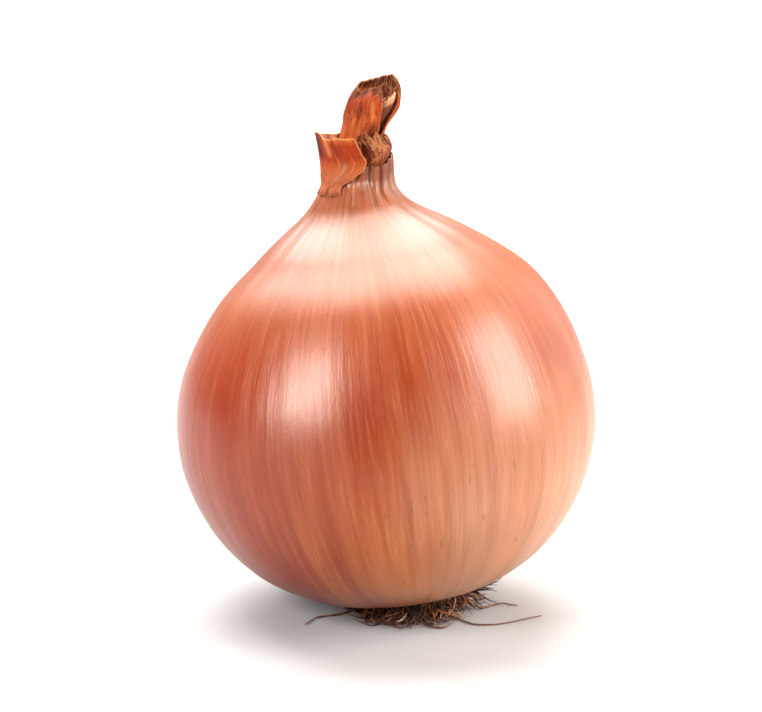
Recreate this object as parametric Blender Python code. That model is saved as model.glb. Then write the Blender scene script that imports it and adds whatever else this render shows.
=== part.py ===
"""A brown onion with its dry neck and its root tuft, standing on its root plate and leaning a little.

Metres, +Z up. The origin is the middle of the flat spot that the onion rests on, straight under its weight.
-Y is the side that faces the viewer, and the neck leans to -X and a little to +Y.
The bulb, the neck's scales and the root plate are drawn in the onion's own axis frame, in which height 0 is
the underside of the bulb, and an empty turns that frame to the lean. The long roots lie on the floor, so
their routes are in world coordinates.
"""

import math
import random

import bmesh
import bpy
from mathutils import Matrix, Vector

MM = 0.001

# How the onion stands
LEAN_LEFT = math.radians(7.6)
LEAN_BACK = math.radians(4.0)

# The bulb: (radius, height) down its outside, from the rim of the root hollow to the foot of the neck
BULB_OUTLINE = (
    (12.4 * MM, 1.5 * MM),
    (20.4 * MM, 3.9 * MM),
    (29.6 * MM, 10.2 * MM),
    (37.0 * MM, 20.6 * MM),
    (40.4 * MM, 34.0 * MM),
    (38.2 * MM, 48.6 * MM),
    (31.0 * MM, 61.5 * MM),
    (20.6 * MM, 70.6 * MM),
    (11.4 * MM, 77.0 * MM),
    (8.2 * MM, 80.4 * MM),
    (7.3 * MM, 82.8 * MM),
    (7.15 * MM, 85.6 * MM),
)
POINTS_PER_SPAN = 4
BULB_SIDES = 66
HOLLOW_DEPTH = 1.3 * MM
PLEATS = 18
PLEAT_AT_WAIST = 0.06 * MM
PLEAT_AT_NECK = 0.22 * MM
SHOULDER = 1.1 * MM

# The neck: the bulb's skin ends here as a torn tube, and the dry scales clasp it and stand in it
NECK_FOOT = 79.0 * MM
NECK_OFFSET = 0.9 * MM
NECK_BEND = (78.0 * MM, 88.0 * MM)
SKIN_RIM = 85.6 * MM
RIM_RISE = 2.4 * MM
SKIN_WALL = 0.65 * MM
SOCKET_FLOOR = 80.0 * MM
TUCK = 0.95 * MM
TUCK_HEIGHTS = (81.3 * MM, 83.1 * MM)
SCALE_THICKNESS = 0.65 * MM
GAP = 0.28 * MM

# The collar scale: its torn right edge as (how far up it, degrees) and its top as (degrees, height in mm)
COLLAR_LEFT = 138
COLLAR_FOOT = 81.8
COLLAR_RIGHT_EDGE = ((0, 245), (0.15, 246), (0.24, 262), (0.37, 279), (0.52, 287), (0.75, 280), (1, 273))
COLLAR_TOP = ((138, 91.8), (165, 92.9), (190, 93.6), (208, 93.3), (219, 92.5), (250, 92.4), (286, 92.0))

# The fibrous scale: its torn top as (degrees, height in mm), and how far it opens over the skin's rim
FIBROUS_FROM = 250
FIBROUS_SWEEP = 256
FIBROUS_TOP = (
    (250, 89.6),
    (280, 92.0),
    (296, 92.7),
    (308, 91.6),
    (322, 92.3),
    (334, 91.0),
    (352, 91.3),
    (370, 90.7),
    (392, 91.6),
    (412, 90.6),
    (432, 92.4),
    (455, 91.0),
    (476, 92.0),
    (506, 90.2),
)
FIBROUS_OPENING = 1.05 * MM
FIBROUS_CLOSING = 1.35 * MM

# The curled leaf: offset to the right, half width and half depth in mm by height in mm
LEAF_FOOT = 80.9
LEAF_OFFSET = ((81, 0.1), (86, 0.8), (90, 2.0), (92.6, 3.1), (96, 5.0), (98.9, 6.0), (101.1, 6.7), (103.2, 7.7))
LEAF_HALF_WIDTH = ((81, 3.5), (86, 3.7), (90, 4.2), (92.6, 4.3), (96, 5.05), (98.9, 5.0), (101.1, 4.3), (103.2, 3.3))
LEAF_HALF_DEPTH = ((81, 3.4), (86, 3.6), (92, 3.4), (98, 3.5), (101, 2.9), (103.2, 2.2))

# The root plate: a low dome under the bulb, flattened where the weight rests on it
PLATE_RADIUS = 11.9 * MM
PLATE_DROP = 1.6 * MM
DOME_RADIUS = 38.0 * MM
FLATTENED_BY = 0.74 * MM
PLATE_SIDES = 40

# The roots
STUB_COUNT = 60
STUB_SEED = 11
STUB_SIDES = 4
STUB_RADIUS = 0.42 * MM
STUB_LENGTH = (2.8 * MM, 6.6 * MM)
STUB_START = (6.6 * MM, 11.0 * MM)
STUB_CURL = 2.6 * MM
WIRY_RADIUS = 0.32 * MM
WIRY_SIDES = 5
FLOOR_CLEARANCE = 0.06 * MM
GOLDEN_TURN = 0.618034

# Where the long roots run on the floor, each from the plate's edge to its tip: (x, y) in millimetres
WIRY_ROUTES = (
    ((7.0, -6.5), (9.3, -8.2), (12.5, -10.8), (17.0, -16.4), (22.9, -15.6), (30.1, -11.0)),
    ((4.5, -8.0), (7.0, -12.6), (8.0, -16.9), (10.6, -18.6), (13.0, -15.4)),
    ((0.5, -8.5), (-1.4, -11.6), (-0.4, -15.8), (3.0, -18.6)),
    ((12.0, 2.0), (17.5, 11.0), (20.2, 18.2), (25.4, 25.2), (31.0, 32.0)),
    ((-3.0, 5.5), (-10.0, 9.5), (-16.0, 12.4), (-23.6, 15.0)),
    ((-4.0, -5.5), (-9.0, -10.0), (-13.4, -12.2), (-15.8, -16.8)),
    ((4.0, 8.0), (3.0, 15.0), (6.4, 21.4), (4.4, 28.0)),
    ((13.0, -5.0), (18.4, -6.4), (22.0, -3.6), (25.6, -4.8)),
)

COLOURS = {
    "bulb_skin": ((0.80, 0.36, 0.16), 0.32),
    "collar_scale": ((0.62, 0.22, 0.07), 0.45),
    "fibrous_scale": ((0.33, 0.11, 0.05), 0.6),
    "curled_leaf": ((0.45, 0.16, 0.06), 0.55),
    "inner_leaf": ((0.80, 0.52, 0.33), 0.6),
    "roots": ((0.30, 0.17, 0.09), 0.75),
}


def axis_frame():
    """The onion's axis frame in world coordinates: it turns about the dome's centre, which is over the origin."""
    centre_height = DOME_RADIUS - FLATTENED_BY
    lean = Matrix.Rotation(-LEAN_LEFT, 4, "Y") @ Matrix.Rotation(-LEAN_BACK, 4, "X")
    down_to_foot = Matrix.Translation((0, 0, PLATE_DROP - DOME_RADIUS))
    return Matrix.Translation((0, 0, centre_height)) @ lean @ down_to_foot


def smooth_curve(points, per_span):
    """Points on a Catmull-Rom curve through the given ones, of any dimension."""
    ends = [points[0]] + list(points) + [points[-1]]
    found = []
    for i in range(1, len(ends) - 2):
        a, b, c, d = (Vector(p) for p in ends[i - 1 : i + 3])
        for k in range(per_span):
            t = k / per_span
            found.append(
                0.5 * (2 * b + (c - a) * t + (2 * a - 5 * b + 4 * c - d) * t * t + (3 * b - a - 3 * c + d) * t**3)
            )
    found.append(Vector(points[-1]))
    return found


def smooth_step(low, high, x):
    t = min(1.0, max(0.0, (x - low) / (high - low)))
    return t * t * (3 - 2 * t)


def value_at(table, x):
    """The value at x on a smooth curve through a table of (x, value) rows."""
    last = len(table) - 1
    if x <= table[0][0]:
        return table[0][1]
    if x >= table[last][0]:
        return table[last][1]
    i = next(k for k in range(last) if x <= table[k + 1][0])
    (x0, y0), (x1, y1) = table[i], table[i + 1]
    before, after = table[max(i - 1, 0)], table[min(i + 2, last)]
    rise_in = (y1 - before[1]) / (x1 - before[0]) * (x1 - x0)
    rise_out = (after[1] - y0) / (after[0] - x0) * (x1 - x0)
    t = (x - x0) / (x1 - x0)
    near = y0 * (1 + 2 * t) * (1 - t) ** 2 + rise_in * t * (1 - t) ** 2
    far = y1 * t * t * (3 - 2 * t) + rise_out * t * t * (t - 1)
    return near + far


def swell(angle, height):
    """How far the bulb's skin stands off the turned outline: broad swellings and the pleats of the skin."""
    middle = math.sin(math.pi * min(1.0, height / NECK_FOOT))
    broad = (0.30 * math.cos(2 * angle + 0.7) + 0.22 * math.cos(3 * angle + 2.1)) * MM * middle
    depth = PLEAT_AT_WAIST + (PLEAT_AT_NECK - PLEAT_AT_WAIST) * smooth_step(48 * MM, NECK_FOOT, height)
    depth *= smooth_step(1.5 * MM, 8 * MM, height)
    pleat = 0.6 * math.cos(PLEATS * angle) + 0.4 * math.cos(11 * angle + 1.3)
    shoulder = SHOULDER * math.cos(angle) * smooth_step(44 * MM, 64 * MM, height)
    shoulder *= smooth_step(78 * MM, 67 * MM, height)
    return broad + shoulder + depth * pleat


def rim_height(angle):
    """How far the torn rim of the skin stands above its lowest place, which faces the viewer."""
    return RIM_RISE * (0.5 + 0.5 * math.cos(angle - math.radians(75))) + 0.35 * MM * math.cos(5 * angle)


def neck_offset(height):
    """How far the neck stands to the right of the onion's axis: it is more upright than the bulb."""
    return NECK_OFFSET * smooth_step(*NECK_BEND, height)


def tuck(angle, height):
    """How far the skin draws in where the collar scale clasps it."""
    degrees = math.degrees(angle) % 360
    clasped = smooth_step(118, 134, degrees) * smooth_step(311, 287, degrees)
    return TUCK * clasped * smooth_step(*TUCK_HEIGHTS, height)


def material_for(name):
    colour, roughness = COLOURS[name]
    made = bpy.data.materials.new(name)
    made.use_nodes = True
    shader = made.node_tree.nodes["Principled BSDF"]
    shader.inputs["Base Color"].default_value = (*colour, 1.0)
    shader.inputs["Roughness"].default_value = roughness
    shader.inputs["Metallic"].default_value = 0.0
    return made


def object_from(bm, name, material=None, parent=None):
    mesh = bpy.data.meshes.new(name)
    bm.to_mesh(mesh)
    bm.free()
    mesh.shade_smooth()
    mesh.set_sharp_from_angle(angle=math.radians(50))
    made = bpy.data.objects.new(name, mesh)
    if material:
        mesh.materials.append(material)
    made.parent = parent
    bpy.context.scene.collection.objects.link(made)
    return made


def turned(outline, sides):
    """A closed body turned round the Z axis from (radius, height) points that start and end on the axis."""
    bm = bmesh.new()
    points = [bm.verts.new((radius, 0, height)) for radius, height in outline]
    edges = [bm.edges.new(pair) for pair in zip(points, points[1:])]
    bmesh.ops.spin(
        bm, geom=points + edges, axis=(0, 0, 1), cent=(0, 0, 0), angle=math.tau, steps=sides, use_merge=True
    )
    bmesh.ops.remove_doubles(bm, verts=bm.verts, dist=0.001 * MM)
    bmesh.ops.recalc_face_normals(bm, faces=bm.faces)
    return bm


def make_bulb(axis):
    """The bulb in its dry skin, up to the torn rim at the neck, with the hollow that the root plate sits in."""
    outside = [tuple(p) for p in smooth_curve(BULB_OUTLINE, POINTS_PER_SPAN)]
    rim_radius = BULB_OUTLINE[-1][0]
    socket_radius = rim_radius - SKIN_WALL
    hollow_roof = HOLLOW_DEPTH + 1.5 * MM
    outline = [(0, hollow_roof), (9.0 * MM, hollow_roof), (12.0 * MM, 2.1 * MM)]
    outline += outside
    outline += [
        (rim_radius - SKIN_WALL / 2, SKIN_RIM + 0.12 * MM),
        (socket_radius, SKIN_RIM - 0.3 * MM),
        (socket_radius, (SKIN_RIM + TUCK_HEIGHTS[1]) / 2),
        (socket_radius, TUCK_HEIGHTS[1]),
        (socket_radius, SOCKET_FLOOR),
        (0, SOCKET_FLOOR),
    ]
    bm = turned(outline, BULB_SIDES)
    for vert in bm.verts:
        x, y, height = vert.co
        radius = math.hypot(x, y)
        if radius > 1.0 * MM:
            angle = math.atan2(y, x)
            in_socket = height > SOCKET_FLOOR - 0.1 * MM and radius < rim_radius - 0.1 * MM
            in_hollow = height > 1.4 * MM and radius < BULB_OUTLINE[0][0] and height < NECK_FOOT / 2
            grown = radius - tuck(angle, height)
            if not in_socket and not in_hollow:
                grown += swell(angle, height)
            rise = rim_height(angle) * smooth_step(TUCK_HEIGHTS[1] + MM / 2, SKIN_RIM, height)
            vert.co = (x * grown / radius, y * grown / radius, height + rise)
        vert.co.x += neck_offset(height)
    return object_from(bm, "bulb", material_for("bulb_skin"), axis)


def make_sheet(name, columns, rows, surface, axis):
    """A thin curved scale: surface(u, v) gives its middle, with u across it and v up it, each from 0 to 1."""
    bm = bmesh.new()
    bmesh.ops.create_grid(bm, x_segments=columns, y_segments=rows, size=0.5)
    for vert in bm.verts:
        vert.co = surface(vert.co.x + 0.5, vert.co.y + 0.5)
    bmesh.ops.triangulate(bm, faces=bm.faces, quad_method="FIXED")
    made = object_from(bm, name, material_for(name), axis)
    shell = made.modifiers.new("thickness", "SOLIDIFY")
    shell.thickness = SCALE_THICKNESS
    shell.offset = 0
    shell.use_even_offset = False
    shell.use_rim = True
    return made


def on_neck(radius, angle, height):
    """A point round the neck's own middle."""
    return Vector((neck_offset(height) + radius * math.cos(angle), radius * math.sin(angle), height))


def neck_radius(height):
    """The bulb's outer radius in the neck, before its pleats and its tuck."""
    return value_at([(height, radius) for radius, height in BULB_OUTLINE[-4:]], height)


def collar_surface(u, v):
    """The outermost scale: it clasps the neck's front and left, flush with the skin, and its edges are torn."""
    right_edge = value_at(COLLAR_RIGHT_EDGE, v)
    degrees = COLLAR_LEFT + (right_edge - COLLAR_LEFT) * u
    angle = math.radians(degrees)
    top = value_at(COLLAR_TOP, degrees) * MM
    foot = (COLLAR_FOOT + 0.2 * math.sin(7 * u * math.pi)) * MM
    height = foot + (top - foot) * v
    skin = neck_radius(height) + max(0.0, swell(angle, min(height, NECK_FOOT))) - tuck(angle, height)
    corner = 0.3 * MM * smooth_step(0.72, 1.0, v) * smooth_step(0.62, 0.3, u)
    ridges = 0.07 * MM * (1 + math.cos(16 * angle))
    clear_of_skin = skin + 1.3 * GAP + SCALE_THICKNESS / 2
    return on_neck(clear_of_skin + corner + ridges, angle, height)


def fibrous_surface(u, v):
    """The scale that stands in the skin's rim: it wraps the neck's right side and back and is torn at its top."""
    degrees = FIBROUS_FROM + FIBROUS_SWEEP * u
    angle = math.radians(degrees)
    foot = SOCKET_FLOOR + GAP + 0.3 * MM
    height = foot + (value_at(FIBROUS_TOP, degrees) * MM - foot) * v
    inside = BULB_OUTLINE[-1][0] - SKIN_WALL - GAP - SCALE_THICKNESS / 2 - tuck(angle, max(height, TUCK_HEIGHTS[1]))
    rim = SKIN_RIM + rim_height(angle)
    open_sides = 1 - tuck(angle, SKIN_RIM) / TUCK
    opened = FIBROUS_OPENING * open_sides * smooth_step(rim - 0.1 * MM, rim + 1.6 * MM, height)
    closed = FIBROUS_CLOSING * open_sides * abs(math.sin(angle)) ** 1.5 * smooth_step(88.2 * MM, 92 * MM, height)
    wrinkle = 0.12 * MM * math.cos(15 * angle + height / MM) * smooth_step(rim, rim + 2 * MM, height)
    return on_neck(inside + opened - closed + wrinkle, angle, height)


def curled_surface(u, v):
    """The tall leaf: a curl that leans to the right, open towards the viewer's right."""
    opening = 12 + 34 * smooth_step(0.46, 0.95, v)
    middle = 320 - 8 * smooth_step(0.7, 1.0, v)
    angle = math.radians(middle - opening - (360 - 2 * opening) * u)
    top = 100.9 + 0.3 * math.cos(angle) + 1.3 * math.sin(angle) + 0.3 * math.sin(17 * u)
    height = LEAF_FOOT + (top - LEAF_FOOT) * v
    above = smooth_step(0.4, 0.7, v)
    creased = 1 + 0.05 * math.cos(7 * angle + 0.25 * height) * above
    creased += 0.07 * smooth_step(0.12, 0.0, u) * above
    offset = value_at(LEAF_OFFSET, height)
    across = value_at(LEAF_HALF_WIDTH, height) * creased * math.cos(angle)
    deep = value_at(LEAF_HALF_DEPTH, height) * creased * math.sin(angle)
    return Vector((offset + across, 0.3 * smooth_step(88, 100, height) + deep, height)) * MM


def inner_surface(u, v):
    """The pale leaf inside the curl, whose tip shows in the opening."""
    angle = math.radians(120 - 220 * u)
    height = 81.2 + (17.8 - 2.2 * abs(u - 0.5)) * v
    bent = smooth_step(91, 98.5, height)
    offset = value_at(LEAF_OFFSET, height) + 2.5 * bent
    wide = 2.4 - 0.9 * bent
    return Vector((offset + wide * math.cos(angle), -0.4 * bent + 0.8 * wide * math.sin(angle), height)) * MM


def plate_underside(radius):
    """Height of the root plate's domed underside, in the axis frame."""
    return DOME_RADIUS - PLATE_DROP - math.sqrt(DOME_RADIUS**2 - radius**2)


def floor_cutter():
    bm = bmesh.new()
    bmesh.ops.create_cube(bm, size=100 * MM)
    bmesh.ops.translate(bm, vec=(0, 0, -50 * MM), verts=bm.verts)
    cutter = object_from(bm, "floor_cutter")
    cutter.hide_render = True
    cutter.display_type = "WIRE"
    return cutter


def root_tube(name, path, radius, sides, collection):
    """One root: a tapering tube along a path in world coordinates."""
    bm = bmesh.new()
    rings = []
    last = len(path) - 1
    for i, point in enumerate(path):
        along = (path[min(i + 1, last)] - path[max(i - 1, 0)]).normalized()
        across = along.cross((0, 0, 1)).normalized()
        up = across.cross(along)
        here = radius * (1 - 0.35 * (i / last) ** 2)
        turns = [math.tau * k / sides for k in range(sides)]
        rings.append([bm.verts.new(point + here * (math.cos(a) * across + math.sin(a) * up)) for a in turns])
    for near, far in zip(rings, rings[1:]):
        for k in range(sides):
            after = (k + 1) % sides
            bm.faces.new((near[k], near[after], far[after], far[k]))
    bm.faces.new(rings[0])
    bm.faces.new(rings[-1])
    bmesh.ops.recalc_face_normals(bm, faces=bm.faces)
    made = object_from(bm, name)
    bpy.context.scene.collection.objects.unlink(made)
    collection.objects.link(made)


def stub_path(frame, angle, start_radius, length, curl):
    """A short root from under the plate: out and down to the floor, curling to one side."""
    foot = Vector((start_radius * math.cos(angle), start_radius * math.sin(angle), 0))
    foot.z = plate_underside(start_radius) + 0.5 * MM
    start = frame @ foot
    out = Vector((math.cos(angle), math.sin(angle), 0))
    side = Vector((-out.y, out.x, 0))
    lowest = STUB_RADIUS + FLOOR_CLEARANCE
    path = []
    for k in range(5):
        t = k / 4
        point = start + out * length * (0.25 * t + 0.75 * t**1.4) + side * curl * t * t
        point.z = max(lowest, start.z - length * 0.9 * t**0.8)
        path.append(point)
    return path


def wiry_path(route, start_height):
    """A long root: from the plate down to the floor in its first stretch, then along the floor."""
    points = smooth_curve([(x * MM, y * MM, 0) for x, y in route], 4)
    lowest = WIRY_RADIUS + FLOOR_CLEARANCE
    for i, point in enumerate(points):
        point.z = lowest + (start_height - lowest) * (1 - smooth_step(0, 4, i))
    return points


def make_root_plate(axis, frame):
    """The root plate with its roots, flattened on the floor under the weight."""
    top = HOLLOW_DEPTH + 1.5 * MM - GAP
    steps = 5
    dome = [(PLATE_RADIUS * k / steps, plate_underside(PLATE_RADIUS * k / steps)) for k in range(steps + 1)]
    outline = dome + [(PLATE_RADIUS - 0.3 * MM, 1.5 * MM), (9.0 * MM - 2 * GAP, top), (0, top)]
    plate = object_from(turned(outline, PLATE_SIDES), "root_plate", material_for("roots"), axis)

    roots = bpy.data.collections.new("roots")
    bpy.context.scene.collection.children.link(roots)
    draw = random.Random(STUB_SEED)
    for i in range(STUB_COUNT):
        angle = math.tau * i * GOLDEN_TURN
        start_radius = STUB_START[0] + (STUB_START[1] - STUB_START[0]) * draw.random() ** 0.5
        length = draw.uniform(*STUB_LENGTH)
        curl = draw.uniform(-STUB_CURL, STUB_CURL)
        path = stub_path(frame, angle, start_radius, length, curl)
        root_tube(f"stub_{i}", path, STUB_RADIUS, STUB_SIDES, roots)
    for i, route in enumerate(WIRY_ROUTES):
        start = frame.inverted() @ Vector((route[0][0] * MM, route[0][1] * MM, 2 * MM))
        height = (frame @ Vector((start.x, start.y, plate_underside(math.hypot(start.x, start.y)) + 0.4 * MM))).z
        height = max(height, WIRY_RADIUS + FLOOR_CLEARANCE)
        root_tube(f"wiry_{i}", wiry_path(route, height), WIRY_RADIUS, WIRY_SIDES, roots)

    bpy.context.view_layer.update()
    joined = plate.modifiers.new("roots", "BOOLEAN")
    joined.operation = "UNION"
    joined.operand_type = "COLLECTION"
    joined.collection = roots
    joined.solver = "EXACT"
    flat = plate.modifiers.new("flattened", "BOOLEAN")
    flat.operation = "DIFFERENCE"
    flat.object = floor_cutter()
    flat.solver = "EXACT"
    graph = bpy.context.evaluated_depsgraph_get()
    whole = bpy.data.meshes.new_from_object(plate.evaluated_get(graph))
    plate.modifiers.clear()
    plate.data = whole
    for piece in list(roots.objects):
        bpy.data.objects.remove(piece)
    bpy.data.collections.remove(roots)
    return plate


def main():
    for old in list(bpy.data.objects):
        bpy.data.objects.remove(old)
    frame = axis_frame()
    axis = bpy.data.objects.new("onion_axis", None)
    axis.matrix_world = frame
    bpy.context.scene.collection.objects.link(axis)
    make_bulb(axis)
    make_sheet("collar_scale", 18, 9, collar_surface, axis)
    make_sheet("fibrous_scale", 34, 9, fibrous_surface, axis)
    make_sheet("curled_leaf", 30, 18, curled_surface, axis)
    make_sheet("inner_leaf", 9, 12, inner_surface, axis)
    make_root_plate(axis, frame)


main()
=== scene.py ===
import math
import random

import bmesh
import bpy
from mathutils import Matrix, Vector, noise


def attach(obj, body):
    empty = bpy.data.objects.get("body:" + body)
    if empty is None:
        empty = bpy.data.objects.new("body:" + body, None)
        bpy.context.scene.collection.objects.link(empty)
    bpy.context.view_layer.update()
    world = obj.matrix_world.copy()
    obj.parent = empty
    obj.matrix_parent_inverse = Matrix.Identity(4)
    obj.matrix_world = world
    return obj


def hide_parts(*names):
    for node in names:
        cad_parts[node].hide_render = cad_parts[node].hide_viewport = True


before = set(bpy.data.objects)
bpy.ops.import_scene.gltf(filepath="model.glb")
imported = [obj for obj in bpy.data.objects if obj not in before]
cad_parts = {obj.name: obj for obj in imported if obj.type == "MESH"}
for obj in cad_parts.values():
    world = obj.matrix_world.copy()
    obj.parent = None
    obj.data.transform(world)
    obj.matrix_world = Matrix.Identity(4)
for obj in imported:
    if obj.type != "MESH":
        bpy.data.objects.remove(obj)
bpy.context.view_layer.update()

mm = 0.001
scene = bpy.context.scene


# Small helpers

def hexColour(code):  # an sRGB hex value as a linear colour
    parts = [int(code[i : i + 2], 16) / 255 for i in (0, 2, 4)]
    return tuple(p / 12.92 if p <= 0.04045 else ((p + 0.055) / 1.055) ** 2.4 for p in parts) + (1.0,)


def smoothStep(low, high, x):
    t = min(1.0, max(0.0, (x - low) / (high - low)))
    return t * t * (3 - 2 * t)


def valueAt(table, x):  # a smooth curve through (x, value) rows
    last = len(table) - 1
    if x <= table[0][0]:
        return table[0][1]
    if x >= table[last][0]:
        return table[last][1]
    i = next(k for k in range(last) if x <= table[k + 1][0])
    (x0, y0), (x1, y1) = table[i], table[i + 1]
    before, after = table[max(i - 1, 0)], table[min(i + 2, last)]
    riseIn = (y1 - before[1]) / (x1 - before[0]) * (x1 - x0)
    riseOut = (after[1] - y0) / (after[0] - x0) * (x1 - x0)
    t = (x - x0) / (x1 - x0)
    near = y0 * (1 + 2 * t) * (1 - t) ** 2 + riseIn * t * (1 - t) ** 2
    return near + y1 * t * t * (3 - 2 * t) + riseOut * t * t * (t - 1)


def smoothCurve(points, perSpan):  # Catmull-Rom through points of any dimension
    ends = [points[0]] + list(points) + [points[-1]]
    found = []
    for i in range(1, len(ends) - 2):
        a, b, c, d = (Vector(p) for p in ends[i - 1 : i + 3])
        for k in range(perSpan):
            t = k / perSpan
            found.append(
                0.5 * (
                    2 * b + (c - a) * t + (2 * a - 5 * b + 4 * c - d) * t * t
                    + (3 * b - a - 3 * c + d) * t**3
                )
            )
    found.append(Vector(points[-1]))
    return found


def grain(x, y=0.0, z=0.0):  # smooth noise from -1 to 1
    return noise.noise(Vector((x, y, z)))


def crease(x, y=0.0, z=0.0):  # ridged noise from 0 to 1, sharp along its folds
    return 1 - abs(noise.noise(Vector((x, y, z)))) * 2


def addNode(tree, kind, inputs=None, stops=None, **settings):
    node = tree.nodes.new("ShaderNode" + kind)
    for name, value in settings.items():
        setattr(node, name, value)
    for name, value in (inputs or {}).items():
        socket = node.inputs[name]
        if isinstance(value, bpy.types.NodeSocket):
            tree.links.new(value, socket)
        else:
            socket.default_value = value
    if stops:
        ramp = node.color_ramp
        while len(ramp.elements) < len(stops):
            ramp.elements.new(0.5)
        for element, (place, colour) in zip(ramp.elements, stops):
            element.position = place
            element.color = colour
    return node


def finishPiece(piece, materials, cadNode):  # smooth, on its body, standing for its CAD node
    for made in materials:
        piece.data.materials.append(made)
    scene.collection.objects.link(piece)
    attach(piece, "root")
    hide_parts(cadNode)


# Camera, floor and light

cameraLook = {"elevation": 15, "lens": 200, "distance": 0.82, "aim": (-0.001, 0.0, 0.0495)}
floorLook = {
    "radius": 4.0, "colour": "918e8c", "fleck": "979492", "fleckScale": 900.0,  # flecks about 1.1 mm wide
    "roughness": 0.75, "specular": 0.25,
}
lightLook = {
    "room": {
        "colour": "fff0e0",
        # which way is looked, from where to where, how bright it is at each, and how it blends between them
        "walls": {
            "behind": ("Y", -0.15, 0.35, 0.01, 0.75, "SMOOTHSTEP"),
            "right": ("X", 0.34, 0.58, 0.0, 3.3, "SMOOTHSTEP"),
            "farRight": ("X", 0.72, 0.95, 1.0, 0.5, "LINEAR"),  # a share of the right wall
            "left": ("X", -0.95, -0.70, 0.1, 1.0, "SMOOTHSTEP"),  # a share of the wall behind
        },
    },
    "middle": (0.0, 0.0, 0.045),  # what the softboxes face
    "ceiling": {"towards": (0.0, 0.60, 0.80), "strength": 0.6, "spread": 60},
    "top": {
        "towards": (-0.14, 0.51, 0.85), "away": 0.62, "size": (0.68, 0.75), "power": 24.0,
        "colour": "fcfdff",
    },
    "left": {
        "towards": (-0.69, -0.575, 0.44), "away": 0.62, "size": (0.24, 0.36), "power": 8.4,
        "colour": "fafcff",
    },
    "right": {
        "towards": (0.86, -0.24, 0.45), "away": 0.62, "size": (0.30, 0.44), "power": 8.0,
        "colour": "fafcff",
    },
}


def makeCamera():
    up = math.radians(cameraLook["elevation"])
    back = Vector((0, -math.cos(up), math.sin(up)))
    camera = bpy.data.objects.new("camera", bpy.data.cameras.new("camera"))
    camera.data.lens = cameraLook["lens"]
    camera.data.clip_start = 0.05
    camera.data.clip_end = 20
    camera.location = Vector(cameraLook["aim"]) + back * cameraLook["distance"]
    camera.rotation_mode = "QUATERNION"
    camera.rotation_quaternion = (-back).to_track_quat("-Z", "Y")
    scene.collection.objects.link(camera)
    scene.camera = camera


def makeFloor():
    bm = bmesh.new()
    bmesh.ops.create_circle(bm, cap_ends=True, segments=96, radius=floorLook["radius"])
    mesh = bpy.data.meshes.new("tableTop")
    bm.to_mesh(mesh)
    bm.free()
    paper = bpy.data.materials.new("matt white board")  # so the onion leaves a shadow and no mirror image
    paper.use_nodes = True
    shader = paper.node_tree.nodes["Principled BSDF"]
    fibres = addNode(paper.node_tree, "TexNoise", {"Scale": floorLook["fleckScale"], "Detail": 3.0})
    toned = addNode(
        paper.node_tree, "Mix",
        {0: fibres.outputs["Fac"], 6: hexColour(floorLook["colour"]), 7: hexColour(floorLook["fleck"])},
        data_type="RGBA",
    )
    paper.node_tree.links.new(toned.outputs[2], shader.inputs["Base Color"])
    shader.inputs["Roughness"].default_value = floorLook["roughness"]
    shader.inputs["Specular IOR Level"].default_value = floorLook["specular"]
    mesh.materials.append(paper)
    floor = bpy.data.objects.new("tableTop", mesh)
    scene.collection.objects.link(floor)


def makeLights():
    world = bpy.data.worlds.new("white room")
    world.use_nodes = True
    tree = world.node_tree
    room = lightLook["room"]
    towards = addNode(tree, "TexCoord")
    split = addNode(tree, "SeparateXYZ", {0: towards.outputs["Generated"]})
    walls = {}
    for name, (way, start, end, atStart, atEnd, blend) in room["walls"].items():
        walls[name] = addNode(
            tree, "MapRange",
            {
                "Value": split.outputs[way], "From Min": start, "From Max": end,
                "To Min": atStart, "To Max": atEnd,
            },
            interpolation_type=blend,
        ).outputs[0]
    rightWall = addNode(tree, "Math", {0: walls["right"], 1: walls["farRight"]}, operation="MULTIPLY")
    backWall = addNode(tree, "Math", {0: walls["behind"], 1: walls["left"]}, operation="MULTIPLY")
    allRound = addNode(
        tree, "Math", {0: rightWall.outputs[0], 1: backWall.outputs[0]}, operation="MAXIMUM"
    )
    sky = tree.nodes["Background"]
    sky.inputs["Color"].default_value = hexColour(room["colour"])
    tree.links.new(allRound.outputs[0], sky.inputs["Strength"])
    scene.world = world
    ceiling = bpy.data.lights.new("white ceiling", "SUN")
    ceiling.energy = lightLook["ceiling"]["strength"]
    ceiling.angle = math.radians(lightLook["ceiling"]["spread"])
    held = bpy.data.objects.new("white ceiling", ceiling)
    held.rotation_mode = "QUATERNION"
    held.rotation_quaternion = (-Vector(lightLook["ceiling"]["towards"])).to_track_quat("-Z", "Y")
    scene.collection.objects.link(held)
    for name in ("top", "left", "right"):
        look = lightLook[name]
        lamp = bpy.data.lights.new(name + " softbox", "AREA")
        lamp.shape = "RECTANGLE"
        lamp.size, lamp.size_y = look["size"]
        lamp.energy = look["power"]
        lamp.color = hexColour(look["colour"])[:3]
        held = bpy.data.objects.new(name + " softbox", lamp)
        towards = Vector(look["towards"]).normalized()
        held.location = Vector(lightLook["middle"]) + towards * look["away"]
        held.rotation_mode = "QUATERNION"
        held.rotation_quaternion = (-towards).to_track_quat("-Z", "Y")
        held.visible_camera = False
        scene.collection.objects.link(held)


makeCamera()
makeFloor()
makeLights()
scene.view_settings.view_transform = "Standard"
print("camera, floor and lights are set")


# How the onion stands: its axis frame is turned about the middle of the root plate's dome

stand = {
    "leanLeft": 7.6, "leanBack": 4.0,  # degrees
    "domeRadius": 38.0 * mm, "plateDrop": 1.6 * mm, "flattenedBy": 0.74 * mm,
}


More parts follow.
